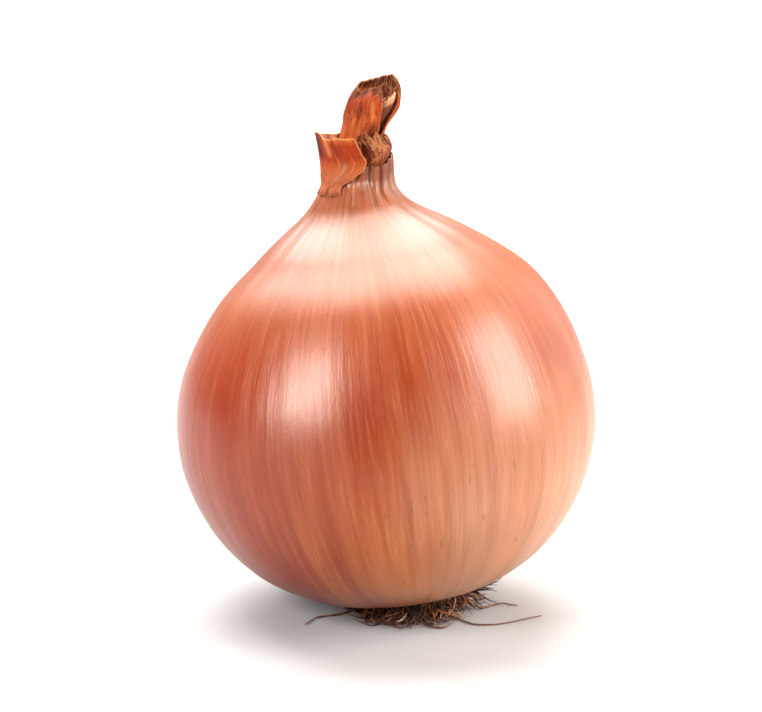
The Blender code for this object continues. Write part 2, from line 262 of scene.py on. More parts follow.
def axisFrame():
    lean = Matrix.Rotation(-math.radians(stand["leanLeft"]), 4, "Y")
    lean = lean @ Matrix.Rotation(-math.radians(stand["leanBack"]), 4, "X")
    up = Matrix.Translation((0, 0, stand["domeRadius"] - stand["flattenedBy"]))
    return up @ lean @ Matrix.Translation((0, 0, stand["plateDrop"] - stand["domeRadius"]))


axis = axisFrame()


# The bulb in its dry skin

bulb = {
    "outline": (
        (12.4, 1.5), (20.4, 3.9), (29.6, 10.2), (37.0, 20.6), (40.4, 34.0), (38.2, 48.6),
        (31.0, 61.5), (20.6, 70.6), (11.4, 77.0), (8.2, 80.4), (7.3, 82.8), (7.15, 85.6),
    ),
    "sides": 384,
    "pointsPerSpan": 18,
    "hollow": ((0, 2.8), (4.5, 2.8), (9.0, 2.8), (11.0, 2.45), (12.0, 2.05)),  # beneath, over the root plate
    "pleats": 18,
    "pleatAtWaist": 0.06,
    "pleatAtNeck": 0.22,
    "shoulder": 1.1,
    "ribDepth": 0.055,
    "skinThickness": 0.25,
}
neck = {
    "foot": 79.0,
    "offset": 0.9,
    "bend": (78.0, 88.0),
    "rim": 85.6,
    "rimRise": 2.4,
    "tuck": 0.95,
    "tuckHeights": (80.6, 83.9),
    "socketFloor": 80.0,
    # degrees round, degrees wide, mm deep, and how dark the painted shade in the fold is
    "folds": (
        (296, 4.5, 0.30, 0.9), (312, 3.2, 0.40, 1.0), (326, 2.4, 0.20, 0.8), (337, 3.2, 0.36, 1.0),
        (349, 2.4, 0.20, 0.9), (5, 2.8, 0.30, 0.9), (17, 2.0, 0.15, 0.6), (286, 5.0, 0.05, 0.75),
        (331, 9.0, 0.05, 0.8), (28, 3.0, 0.35, 0.8), (52, 2.2, 0.20, 0.6), (70, 2.6, 0.30, 0.8),
        (91, 2.0, 0.20, 0.5), (112, 3.2, 0.35, 0.9),
    ),
}


def swell(angle, height):  # how far the skin stands off the turned outline, in mm
    middle = math.sin(math.pi * min(1.0, height / neck["foot"]))
    broad = (0.30 * math.cos(2 * angle + 0.7) + 0.22 * math.cos(3 * angle + 2.1)) * middle
    shoulder = bulb["shoulder"] * math.cos(angle) * smoothStep(44, 64, height) * smoothStep(78, 67, height)
    depth = bulb["pleatAtWaist"]
    depth += (bulb["pleatAtNeck"] - bulb["pleatAtWaist"]) * smoothStep(48, neck["foot"], height)
    depth *= smoothStep(1.5, 8, height)
    pleat = 0.6 * math.cos(bulb["pleats"] * angle) + 0.4 * math.cos(11 * angle + 1.3)
    return broad + shoulder + depth * pleat


def rimHeight(angle):
    return neck["rimRise"] * (0.5 + 0.5 * math.cos(angle - math.radians(75))) + 0.35 * math.cos(5 * angle)


def neckOffset(height):
    return neck["offset"] * smoothStep(*neck["bend"], height)


def tuck(angle, height):
    degrees = math.degrees(angle) % 360
    clasped = smoothStep(118, 134, degrees) * smoothStep(311, 287, degrees)
    return neck["tuck"] * clasped * smoothStep(*neck["tuckHeights"], height)


def neckRadius(height):
    return valueAt([(up, out) for out, up in bulb["outline"][-4:]], height)


def foldsAt(angle, height):  # how much each fold of the neck counts here, its depth and the darkness of its painted shade
    if height < 76:
        return []
    degrees = math.degrees(angle) % 360
    found = []
    for place, wide, deep, dark in neck["folds"]:
        away = (degrees - place + 1.5 * math.sin(height * 0.9 + place) + 180) % 360 - 180
        share = math.exp(-((away / wide) ** 2)) * smoothStep(77.5, 83.5, height)
        if share > 0.01:
            found.append((share, deep, dark))
    return found


def skinRelief(angle, height):  # the fine ribs of the dry skin, and the folds it has at the neck, in mm
    x, y = math.cos(angle), math.sin(angle)
    along = height / 60
    ribs = grain(15 * x, 15 * y, along) + 0.6 * grain(31 * x, 31 * y, along + 7)
    ribs *= bulb["ribDepth"] * smoothStep(1.5, 7, height) * (0.75 + 0.8 * smoothStep(62, 80, height))
    papery = 0.05 * grain(3.4 * x + 5, 3.4 * y, height / 11) + 0.035 * grain(8 * x, 8 * y + 3, height / 5)
    folds = 0.0
    for share, deep, _ in foldsAt(angle, height):
        folds -= deep * share
    flap = math.degrees(angle) % 360 - (238 + 1.6 * math.sin(height * 0.07) + 0.5 * grain(height / 6))
    step = 0.045 * smoothStep(0.35, -0.2, flap) * smoothStep(-26, -4, flap) * smoothStep(20, 30, height)
    return ribs + papery + folds + step


def makeBulb():
    outside = [tuple(p) for p in smoothCurve(bulb["outline"], bulb["pointsPerSpan"])]
    rim = neck["rim"]
    rimRadius = bulb["outline"][-1][0]
    inner = rimRadius - bulb["skinThickness"]
    outline = [*bulb["hollow"], *outside]
    outline += [(rimRadius - 0.1, rim + 0.08), (inner, rim - 0.05)]
    outline += [(inner, rim - 0.35 * k) for k in range(1, 16)]
    outline += [(inner, neck["socketFloor"]), (3.0, neck["socketFloor"]), (0, neck["socketFloor"])]
    bm = bmesh.new()
    points = [bm.verts.new((out * mm, 0, up * mm)) for out, up in outline]
    edges = [bm.edges.new(pair) for pair in zip(points, points[1:])]
    bmesh.ops.spin(
        bm, geom=points + edges, axis=(0, 0, 1), cent=(0, 0, 0), angle=math.tau,
        steps=bulb["sides"], use_merge=True,
    )
    bmesh.ops.remove_doubles(bm, verts=bm.verts, dist=0.002 * mm)
    bmesh.ops.recalc_face_normals(bm, faces=bm.faces)
    place = bm.verts.layers.float_vector.new("skinPlace")
    shade = bm.verts.layers.float.new("foldShade")
    for vert in bm.verts:
        x, y, height = (c / mm for c in vert.co)
        radius = math.hypot(x, y)
        angle = math.atan2(y, x)
        paintedFoldShade = max([share * dark for share, _, dark in foldsAt(angle, height)], default=0.0)
        # painted shade in the bottoms of the folds; the skin is also darker near its torn top edge
        vert[shade] = max(paintedFoldShade, 0.75 * smoothStep(84.2, 86.2, height + 0.8 * grain(6 * angle, 2)))
        vert[place] = (math.cos(angle), math.sin(angle), height / 40)
        if radius > 1.0:
            inSocket = height > neck["socketFloor"] - 0.1 and radius < rimRadius - 0.06
            inHollow = height > 1.4 and radius < bulb["outline"][0][0] and height < 40
            grown = radius - tuck(angle, height)
            if not inSocket and not inHollow:
                grown += swell(angle, height)
            if not inHollow:
                grown += skinRelief(angle, height)
            torn = rimHeight(angle) + 0.35 * grain(9 * math.cos(angle), 9 * math.sin(angle), 3)
            torn += 0.22 * crease(21 * math.cos(angle), 21 * math.sin(angle), 5)
            rise = torn * smoothStep(neck["tuckHeights"][1] + 0.5, rim, height)
            x, y, height = x * grown / radius, y * grown / radius, height + rise
        vert.co = Vector((x + neckOffset(height), y, height)) * mm
    bmesh.ops.transform(bm, matrix=axis, verts=bm.verts)
    mesh = bpy.data.meshes.new("drySkin")
    bm.to_mesh(mesh)
    bm.free()
    mesh.shade_smooth()
    return bpy.data.objects.new("drySkin", mesh)


# Onion skin: a thin leaf that dried on the bulb. The glaze is its own wax, so it shines softly, and its veins
# run from root to neck, so the colour and the shine break up into fine upright streaks.

skinLook = {
    "height": (  # from the root to the neck, as a share of 90 mm
        (0.00, "7c4220"), (0.07, "b06a3a"), (0.20, "9a4c1a"), (0.36, "7c2c02"), (0.50, "6d1f00"),
        (0.62, "702501"), (0.72, "703006"), (0.79, "682b06"), (0.86, "5a2606"), (0.91, "6e3006"),
        (1.0, "622604"),
    ),
    "uneven": 0.24,  # how far the broad pattern moves those colours up or down
    "deep": "661d01",  # patches and the darker veins
    "shady": "681800",  # painted shade on the left side, below the shoulder
    "paleAndLit": "a67a5e",  # the lower right side: paler skin, with painted light from the table and the bright right wall
    "pale": "cc8052",  # the lighter veins
    "vein": "6c2206",  # dark hairlines
    "straw": "da976a",  # light hairlines
    "fold": "4a1604",  # painted shade in the bottoms of the neck's folds, and near the skin's torn top edge
    "speck": "46200e",
    # 40 mm of radius is one unit round the bulb, so these patches lie about 15 mm apart, the veins 1.9,
    # the fine streaks 0.6, the papery grain 0.7 and the specks 1.5. Each row is how much the pattern keeps
    # of its fineness up the bulb, then its scale, detail and roughness.
    "patterns": {
        "broad": (0.22, 2.6, 4.0, 0.55),
        "veins": (0.06, 21.0, 2.5, 0.5),
        "fine": (0.06, 64.0, 3.0, 0.6),
        "paper": (1.0, 55.0, 4.0, 0.5),
        "specks": (0.22, 26.0, 3.0, 0.6),
    },
    # what is read, from where to where, and what it gives at each of the two
    "shares": {
        "patch": ("broad", 0.35, 0.68, 0.0, 0.55),
        "sunny": ("leaning", 0.75, 1.55, 0.0, 0.72),
        "lowDown": ("height", 1.25, 0.60, 0.0, 1.0),
        "away": ("leaning", 0.85, 0.10, 0.0, 0.95),
        "notHigh": ("height", 1.50, 1.05, 0.1, 1.0),
        "streaky": ("height", 1.20, 0.35, 0.35, 1.0),
        "light": ("veins", 0.46, 0.76, 0.0, 0.25),
        "dark": ("veins", 0.22, 0.48, 0.25, 0.0),
        "hair": ("fine", 0.26, 0.44, 0.26, 0.0),
        "straw": ("fine", 0.54, 0.80, 0.0, 0.24),
        "specks": ("specks", 0.64, 0.72, 0.0, 0.5),
        "base": ("height", 1.85, 2.00, 0.29, 0.24),  # the least roughness, smoother at the neck
    },
    "leaning": 1.6,  # how much the broad pattern blurs the line between the painted light of the sunny side and the painted shade of the shady side
    "calming": 0.6,  # how much of its light streaks the side with painted shade loses
    "streakGloss": 0.20,  # how much rougher the light streaks are
    "paperRelief": 0.35,  # how far the papery streaks raise the skin, against its ribs
    "bump": {"Distance": 0.00009, "Strength": 0.8},
    "tint": "ffe6ce",
    "shader": {
        "IOR": 1.5, "Specular IOR Level": 0.58, "Coat Weight": 0.12, "Coat Roughness": 0.26,
        "Subsurface Weight": 0.05, "Subsurface Scale": 0.002, "Subsurface Radius": (1.0, 0.4, 0.2),
    },
}


def makeSkinMaterial():
    made = bpy.data.materials.new("dry waxed onion skin")
    made.use_nodes = True
    tree = made.node_tree
    shader = tree.nodes["Principled BSDF"]
    place = addNode(tree, "Attribute", attribute_name="skinPlace").outputs["Vector"]
    split = addNode(tree, "SeparateXYZ", {0: place})
    read = {"height": split.outputs["Z"]}
    for name, (upright, scale, detail, roughness) in skinLook["patterns"].items():
        stretched = addNode(tree, "Mapping", {"Vector": place, "Scale": (1.0, 1.0, upright)})
        read[name] = addNode(
            tree, "TexNoise",
            {"Vector": stretched.outputs[0], "Scale": scale, "Detail": detail, "Roughness": roughness},
        ).outputs["Fac"]
    read["leaning"] = addNode(
        tree, "Math", {0: read["broad"], 1: skinLook["leaning"], 2: split.outputs["X"]},
        operation="MULTIPLY_ADD",
    ).outputs[0]
    share = {}
    for name, (source, start, end, atStart, atEnd) in skinLook["shares"].items():
        share[name] = addNode(
            tree, "MapRange",
            {"Value": read[source], "From Min": start, "From Max": end, "To Min": atStart, "To Max": atEnd},
        ).outputs[0]
    shifted = addNode(
        tree, "Math", {0: read["broad"], 1: skinLook["uneven"], 2: -skinLook["uneven"] / 2},
        operation="MULTIPLY_ADD",
    )
    upward = addNode(
        tree, "Math", {0: read["height"], 1: 40 / 90, 2: shifted.outputs[0]}, operation="MULTIPLY_ADD"
    )
    colour = addNode(
        tree, "ValToRGB", {"Fac": upward.outputs[0]},
        stops=[(at, hexColour(code)) for at, code in skinLook["height"]],
    ).outputs["Color"]
    # the lower right side is paler: partly the skin's own colour, partly painted light
    paler = addNode(tree, "Math", {0: share["sunny"], 1: share["lowDown"]}, operation="MULTIPLY")
    # painted shade: the left side below the shoulder is darkened, and loses some of its light streaks
    shadedLeft = addNode(tree, "Math", {0: share["away"], 1: share["notHigh"]}, operation="MULTIPLY")
    calmer = addNode(
        tree, "Math", {0: shadedLeft.outputs[0], 1: -skinLook["calming"], 2: 1.0}, operation="MULTIPLY_ADD"
    )
    streaky = addNode(tree, "Math", {0: share["streaky"], 1: calmer.outputs[0]}, operation="MULTIPLY")
    light = addNode(tree, "Math", {0: share["light"], 1: streaky.outputs[0]}, operation="MULTIPLY")
    straw = addNode(tree, "Math", {0: share["straw"], 1: streaky.outputs[0]}, operation="MULTIPLY")
    # the painted shade of the neck's folds, broken up by the fine streaks
    folded = addNode(tree, "Attribute", attribute_name="foldShade").outputs["Fac"]
    frayed = addNode(tree, "Math", {0: read["fine"], 1: 0.9, 2: -0.45}, operation="MULTIPLY_ADD")
    foldHere = addNode(
        tree, "Math", {0: folded, 1: frayed.outputs[0]}, operation="ADD", use_clamp=True
    )
    paintedFoldShade = addNode(tree, "Math", {0: foldHere.outputs[0], 1: folded}, operation="MINIMUM")
    for amount, code in (
        (share["patch"], "deep"), (shadedLeft.outputs[0], "shady"), (paler.outputs[0], "paleAndLit"),
        (light.outputs[0], "pale"), (share["dark"], "deep"), (share["hair"], "vein"),
        (straw.outputs[0], "straw"), (paintedFoldShade.outputs[0], "fold"), (share["specks"], "speck"),
    ):
        colour = addNode(
            tree, "Mix", {0: amount, 6: colour, 7: hexColour(skinLook[code])}, data_type="RGBA"
        ).outputs[2]
    tree.links.new(colour, shader.inputs["Base Color"])
    gloss = addNode(
        tree, "Math", {0: read["fine"], 1: skinLook["streakGloss"], 2: share["base"]},
        operation="MULTIPLY_ADD",
    )
    tree.links.new(gloss.outputs[0], shader.inputs["Roughness"])
    ribs = addNode(tree, "Math", {0: read["veins"], 1: read["fine"]}, operation="ADD")
    relief = addNode(
        tree, "Math", {0: read["paper"], 1: skinLook["paperRelief"], 2: ribs.outputs[0]},
        operation="MULTIPLY_ADD",
    )
    bump = addNode(tree, "Bump", {"Height": relief.outputs[0], **skinLook["bump"]})
    tree.links.new(bump.outputs[0], shader.inputs["Normal"])
    for name, value in skinLook["shader"].items():
        shader.inputs[name].default_value = value
    shader.inputs["Specular Tint"].default_value = hexColour(skinLook["tint"])
    return made


finishPiece(makeBulb(), [makeSkinMaterial()], "bulb")
print("the bulb has its skin")


# The dry scales of the neck

collar = {
    "columns": 150, "rows": 90, "thickness": 0.22,
    "left": 114, "foot": 81.8,
    "rightEdge": ((0, 245), (0.15, 246), (0.24, 262), (0.37, 279), (0.52, 287), (0.75, 280), (1, 273)),
    "top": (
        (112, 91.6), (138, 92.2), (165, 92.9), (190, 93.6), (208, 93.3), (219, 92.5), (250, 92.4),
        (286, 92.0),
    ),
}
fibrous = {
    "columns": 260, "rows": 80, "thickness": 0.2,
    "from": 250, "sweep": 256,
    "top": (
        (250, 89.6), (280, 92.0), (296, 92.7), (308, 91.6), (322, 92.3), (334, 91.0), (352, 91.3),
        (370, 90.7), (392, 91.6), (412, 90.6), (432, 92.4), (455, 91.0), (476, 92.0), (506, 90.2),
    ),
    "opening": 1.05, "closing": 1.35,
}
curled = {
    "columns": 190, "rows": 130, "thickness": 0.24, "foot": 80.9,
    "offset": (
        (81, 0.1), (86, 0.8), (90, 2.0), (92.6, 3.1), (96, 5.0), (98.9, 6.0), (101.1, 6.7), (103.2, 7.7),
    ),
    "halfWidth": (
        (81, 3.5), (86, 3.7), (90, 4.2), (92.6, 4.3), (96, 5.05), (98.9, 5.0), (101.1, 4.3), (103.2, 3.3),
    ),
    "halfDepth": ((81, 3.4), (86, 3.6), (92, 3.4), (98, 3.5), (101, 2.9), (103.2, 2.2)),
}
innerLeaf = {"columns": 60, "rows": 90, "thickness": 0.3, "foot": 81.2}


def onNeck(radius, angle, height):
    return Vector((neckOffset(height) + radius * math.cos(angle), radius * math.sin(angle), height))


def collarSurface(u, v):
    jag = 2.2 * grain(v * 8, 2) + 1.0 * crease(v * 19, 4)
    rightEdge = valueAt(collar["rightEdge"], v) + jag
    degrees = collar["left"] + (rightEdge - collar["left"]) * u
    angle = math.radians(degrees)
    top = valueAt(collar["top"], degrees) + 0.16 * grain(u * 13, 9) + 0.12 * crease(u * 31, 1)
    foot = collar["foot"] + 0.3 * grain(u * 11, 20) + 0.2 * crease(u * 27, 3) - 0.2
    height = foot + (top - foot) * v
    skin = neckRadius(height) + max(0.0, swell(angle, min(height, neck["foot"]))) - tuck(angle, height)
    off = 0.2 + 0.42 * smoothStep(0.0, 0.3, v)
    corner = 0.12 * smoothStep(0.8, 1.0, v) * smoothStep(0.62, 0.3, u)
    rolled = 0.2 * smoothStep(0.95, 1.0, v) * grain(u * 6, 31)
    lifted = 0.30 * smoothStep(0.90, 1.0, u) * smoothStep(0.2, 0.5, v)
    waist = -0.22 * math.exp(-(((v - 0.55) / 0.2) ** 2)) * smoothStep(0.3, 0.6, u)
    ribs = 0.13 * grain(angle * 9, v * 0.7) + 0.05 * grain(angle * 26, v * 1.2, 4)
    ribs *= 0.4 + smoothStep(0.75, 0.35, v)
    papery = 0.09 * grain(u * 6, v * 4, 2) + 0.05 * (crease(u * 4, v * 3, 8) - 0.6)
    return onNeck(skin + off + corner + rolled + lifted + waist + ribs + papery, angle, height)


def fibrousSurface(u, v):
    degrees = fibrous["from"] + fibrous["sweep"] * u
    angle = math.radians(degrees)
    foot = neck["socketFloor"] + 0.6
    torn = 0.35 * grain(u * 30, 5) + 0.4 * crease(u * 52, 2) ** 2 - 0.15
    height = foot + (valueAt(fibrous["top"], degrees) + torn - foot) * v
    inside = bulb["outline"][-1][0] - 1.0 - tuck(angle, max(height, neck["tuckHeights"][1]))
    rim = neck["rim"] + rimHeight(angle)
    openSides = 1 - tuck(angle, neck["rim"]) / neck["tuck"]
    opened = fibrous["opening"] * openSides * smoothStep(rim - 0.1, rim + 1.6, height)
    closed = fibrous["closing"] * openSides * abs(math.sin(angle)) ** 1.5 * smoothStep(88.2, 92, height)
    closed += 1.0 * openSides * smoothStep(88.5, 92.6, height) * (1 - abs(math.sin(angle)) ** 1.5)
    slant = angle * 9 + 0.42 * (height - 86)
    above = smoothStep(rim - 0.5, rim + 1.5, height)
    ribs = 0.20 * grain(slant, height * 0.10) + 0.12 * grain(angle * 24 - 0.5 * height, height * 0.12, 3)
    ribs *= above
    ribs += 0.26 * (crease(angle * 4 + 0.3 * height, height * 0.15, 6) - 0.6) * above
    return onNeck(inside + opened - closed + ribs, angle, height)


def curledSurface(u, v):
    opening = 6 + 22 * smoothStep(0.5, 0.85, v) + 8 * grain(v * 4, 3) + 3 * grain(v * 15, 7)
    middle = 322 + 6 * grain(v * 3.5, 12)
    angle = math.radians(middle - opening - (360 - 2 * opening) * u)
    top = 101.4 + 0.3 * math.cos(angle) + 0.85 * math.sin(angle) + 0.2 * math.sin(17 * u)
    top += 0.3 * grain(u * 17, 6) + 0.3 * crease(u * 33, 2) - 0.15 - 1.5 * smoothStep(0.09, 0.0, u) ** 2
    height = curled["foot"] + (top - curled["foot"]) * v
    above = smoothStep(0.4, 0.7, v)
    creased = 1 + 0.05 * math.cos(7 * angle + 0.25 * height) * above
    creased += 0.06 * smoothStep(0.10, 0.0, u) * above
    creased += 0.024 * grain(u * 22, v * 1.2, 1) + 0.012 * grain(u * 50, v * 2.5, 2)
    creased += (0.05 * grain(u * 7, v * 6, 5) + 0.05 * (crease(u * 5, v * 4, 9) - 0.6)) * above
    creased += 0.08 * math.exp(-(((math.degrees(angle) - 262 + 9 * (v - 0.7)) / 7) ** 2)) * above
    creased -= 0.07 * math.exp(-(((math.degrees(angle) - 244 + 6 * (v - 0.7)) / 6) ** 2)) * above
    hood = smoothStep(0.42, 0.22, u)
    creased -= (0.10 + 0.22 * hood + 0.08 * grain(u * 12, 40)) * smoothStep(0.86, 1.0, v) ** 2
    across = valueAt(curled["halfWidth"], height) * creased * math.cos(angle)
    deep = valueAt(curled["halfDepth"], height) * creased * math.sin(angle)
    across += valueAt(curled["offset"], height)
    deep += 0.3 * smoothStep(88, 100, height)
    return Vector((across, deep, height))


def innerSurface(u, v):
    angle = math.radians(120 - 220 * u)
    height = innerLeaf["foot"] + (17.8 - 2.2 * abs(u - 0.5) + 0.4 * grain(u * 9, 2)) * v
    bent = smoothStep(91, 98.5, height)
    offset = valueAt(curled["offset"], height) + 2.5 * bent
    wide = (2.4 - 0.9 * bent) * (1 + 0.05 * grain(u * 14, v * 2) + 0.04 * grain(u * 5, v * 8, 3))
    return Vector((offset + wide * math.cos(angle), -0.4 * bent + 0.8 * wide * math.sin(angle), height))


# A scale's shade value darkens it above 0, with rot and painted shade, and pales it below 0, with pale marks
# and painted highlights

def collarShade(u, v):  # painted shade in the rolled corner at the left and a painted shadow along the foot, pale beside the corner
    corner = 1.0 * math.exp(-(((u - 0.49) / 0.10) ** 2)) * smoothStep(0.50, 0.68, v)
    beside = -0.40 * math.exp(-(((u - 0.67) / 0.03) ** 2)) * smoothStep(0.62, 0.75, v)
    lower = -0.35 * math.exp(-(((u - 0.80) / 0.03) ** 2)) * smoothStep(0.6, 0.45, v) * smoothStep(0.1, 0.2, v)
    # the dark line along the foot is a painted shadow
    return max(corner, 0.5 * smoothStep(0.05, 0.0, v)) + beside + lower


def curledShade(u, v):  # dark where it leaves the neck at the right, along its mouth and down its left side, with painted shade in its groove and a painted highlight along a fold
    low = 0.9 * smoothStep(0.16, 0.06, u) * smoothStep(0.36, 0.48, v) * smoothStep(0.74, 0.60, v)
    foot = 0.6 * smoothStep(0.58, 0.50, v)
    mouth = 0.95 * smoothStep(0.90, 0.97, v + 0.03 * grain(u * 12, 3))
    behind = 0.7 * smoothStep(0.82, 0.90, v + 0.03 * grain(u * 9, 5)) * smoothStep(0.55, 0.75, u)
    left = 0.7 * math.exp(-(((u - 0.295) / 0.035) ** 2)) * smoothStep(0.55, 0.7, v)
    # painted shade in the groove down the leaf's front
    hollow = 0.95 * math.exp(-(((u - 0.165) / 0.030) ** 2)) * math.exp(-(((v - 0.80) / 0.075) ** 2))
    # painted highlight along a fold
    fold = 0.5 * math.exp(-(((u - 0.075) / 0.018) ** 2)) * smoothStep(0.6, 0.7, v) * smoothStep(0.92, 0.85, v)
    rib = 0.35 * math.exp(-(((u - 0.215) / 0.016) ** 2))
    rib *= smoothStep(0.5, 0.62, v) * smoothStep(0.84, 0.74, v)
    return max(low, foot, mouth, behind, left, hollow) - fold - rib


def innerShade(u, v):  # only its tip is pale
    return 0.95 * smoothStep(0.95, 0.90, v + 0.04 * grain(u * 7, 1))


def noShade(u, v):
    return 0.0


def makeSheet(name, look, surface, flip, shadeAt):
    bm = bmesh.new()
    bmesh.ops.create_grid(bm, x_segments=look["columns"], y_segments=look["rows"], size=0.5)
    place = bm.verts.layers.float_vector.new("leafPlace")
    edge = bm.verts.layers.float.new("tornEdge")
    shade = bm.verts.layers.float.new("scaleShade")
    for vert in bm.verts:
        u, v = vert.co.x + 0.5, vert.co.y + 0.5
        vert[place] = (u, v, 0.0)
        vert[edge] = min(u, 1 - u, (1 - v) * 1.2, v * 2)
        vert[shade] = shadeAt(u, v)
        vert.co = surface(u, v) * mm
    if flip:
        bmesh.ops.reverse_faces(bm, faces=bm.faces)
    bmesh.ops.transform(bm, matrix=axis, verts=bm.verts)
    mesh = bpy.data.meshes.new(name)
    bm.to_mesh(mesh)
    bm.free()
    mesh.shade_smooth()
    piece = bpy.data.objects.new(name, mesh)
    shell = piece.modifiers.new("thickness", "SOLIDIFY")
    shell.thickness = look["thickness"] * mm
    shell.offset = 0
    shell.use_rim = True
    shell.use_even_offset = False
    shell.material_offset = 1
    shell.material_offset_rim = 0
    return piece


# Dry scale: the same leaf, dried off the bulb. It is thinner and duller than the skin, with fibres along it,
# a net of pale veins where it is most weathered, a pale frayed lip, and dark where it has rotted, with
# painted shade in its rolls, grooves and along the collar's foot, and painted highlights along some folds. A
# scale is 22 to 29 mm round, and that is one unit, so 13 to 22 across gives bands 1.3 to 2 mm wide, and 36 to
# 64 fine gives fibres about 0.5 mm apart. The inner leaf is only 8 mm round.

scaleLooks = {
    "collar": {
        "rise": (
            (0.0, "642a0c"), (0.10, "864628"), (0.40, "88421e"), (0.56, "843208"), (0.66, "7a2400"),
            (0.88, "7a2500"), (0.95, "8c3a0c"), (1.0, "9c5a2e"),
        ),
        "dark": "340b02", "pale": "b87850", "lip": "b4703e", "lipWidth": 0.008,
        "net": 0.0, "netCells": (20, 5), "across": 13.0, "fine": 36.0, "along": 0.6,
        "roughness": 0.68, "darkness": 0.50, "paleness": 0.24, "specular": 0.14,
    },
    "collarInside": {
        "rise": ((0.0, "6e2c0e"), (0.6, "a04e26"), (0.85, "c98c64"), (1.0, "b8744a")),
        "dark": "421304", "pale": "dfae88", "lip": "d0946a", "lipWidth": 0.013,
        "net": 0.0, "netCells": (20, 5), "across": 18.0, "fine": 50.0, "along": 0.8,
        "roughness": 0.5, "darkness": 0.6, "paleness": 0.5, "specular": 0.3,
    },
    "fibrous": {
        "rise": ((0.0, "6a2a0c"), (0.45, "662608"), (0.6, "561a05"), (0.85, "4a1604"), (1.0, "5a220c")),
        "dark": "200702", "pale": "b07242", "lip": "8a4e2a", "lipWidth": 0.006,
        "net": 0.38, "netCells": (34, 4), "across": 22.0, "fine": 64.0, "along": 1.4,
        "roughness": 0.62, "darkness": 0.8, "paleness": 0.36, "specular": 0.12,
    },
    "fibrousInside": {
        "rise": ((0.0, "3c1408"), (1.0, "52220e")),
        "dark": "200802", "pale": "96603c", "lip": "8a5430", "lipWidth": 0.006,
        "net": 0.3, "netCells": (26, 5), "across": 22.0, "fine": 64.0, "along": 1.4,
        "roughness": 0.6, "darkness": 0.7, "paleness": 0.5, "specular": 0.2,
    },
    "curled": {
        "rise": (
            (0.0, "541a04"), (0.50, "762804"), (0.64, "803409"), (0.76, "7c2a04"), (0.88, "7e2400"),
            (0.95, "682003"), (1.0, "4e1a06"),
        ),
        "dark": "3c1003", "pale": "b4662e", "lip": "8a5028", "lipWidth": 0.008,
        "net": 0.16, "netCells": (24, 6), "across": 13.0, "fine": 44.0, "along": 1.6,
        "roughness": 0.68, "darkness": 0.60, "paleness": 0.30, "specular": 0.12,
    },
    "curledInside": {
        "rise": ((0.0, "3c1005"), (0.6, "521807"), (0.85, "66220b"), (1.0, "84401c")),
        "dark": "240702", "pale": "b87848", "lip": "a8683c", "lipWidth": 0.010,
        "net": 0.5, "netCells": (30, 9), "across": 22.0, "fine": 58.0, "along": 1.6,
        "roughness": 0.55, "darkness": 0.75, "paleness": 0.6, "specular": 0.25,
    },
    "innerLeaf": {
        "rise": ((0.0, "7a3c18"), (0.7, "9c6238"), (1.0, "b47c5c")),
        "dark": "4a1a06", "pale": "c69474", "lip": "b88460", "lipWidth": 0.02,
        "net": 0.0, "netCells": (10, 5), "across": 10.0, "fine": 26.0, "along": 0.8,
        "roughness": 0.6, "darkness": 0.3, "paleness": 0.4, "specular": 0.2,
    },
}
scaleGrain = {
    "crumple": 12.0,  # crumples about 2 mm apart
    "warp": 0.06,  # how far they bend the net of veins
    "net": 0.4, "fibres": 0.8,
    "bump": {"Distance": 0.00018, "Strength": 0.9},
}
scaleDepth = {"Subsurface Weight": 0.06, "Subsurface Scale": 0.001, "Subsurface Radius": (1.0, 0.4, 0.2)}


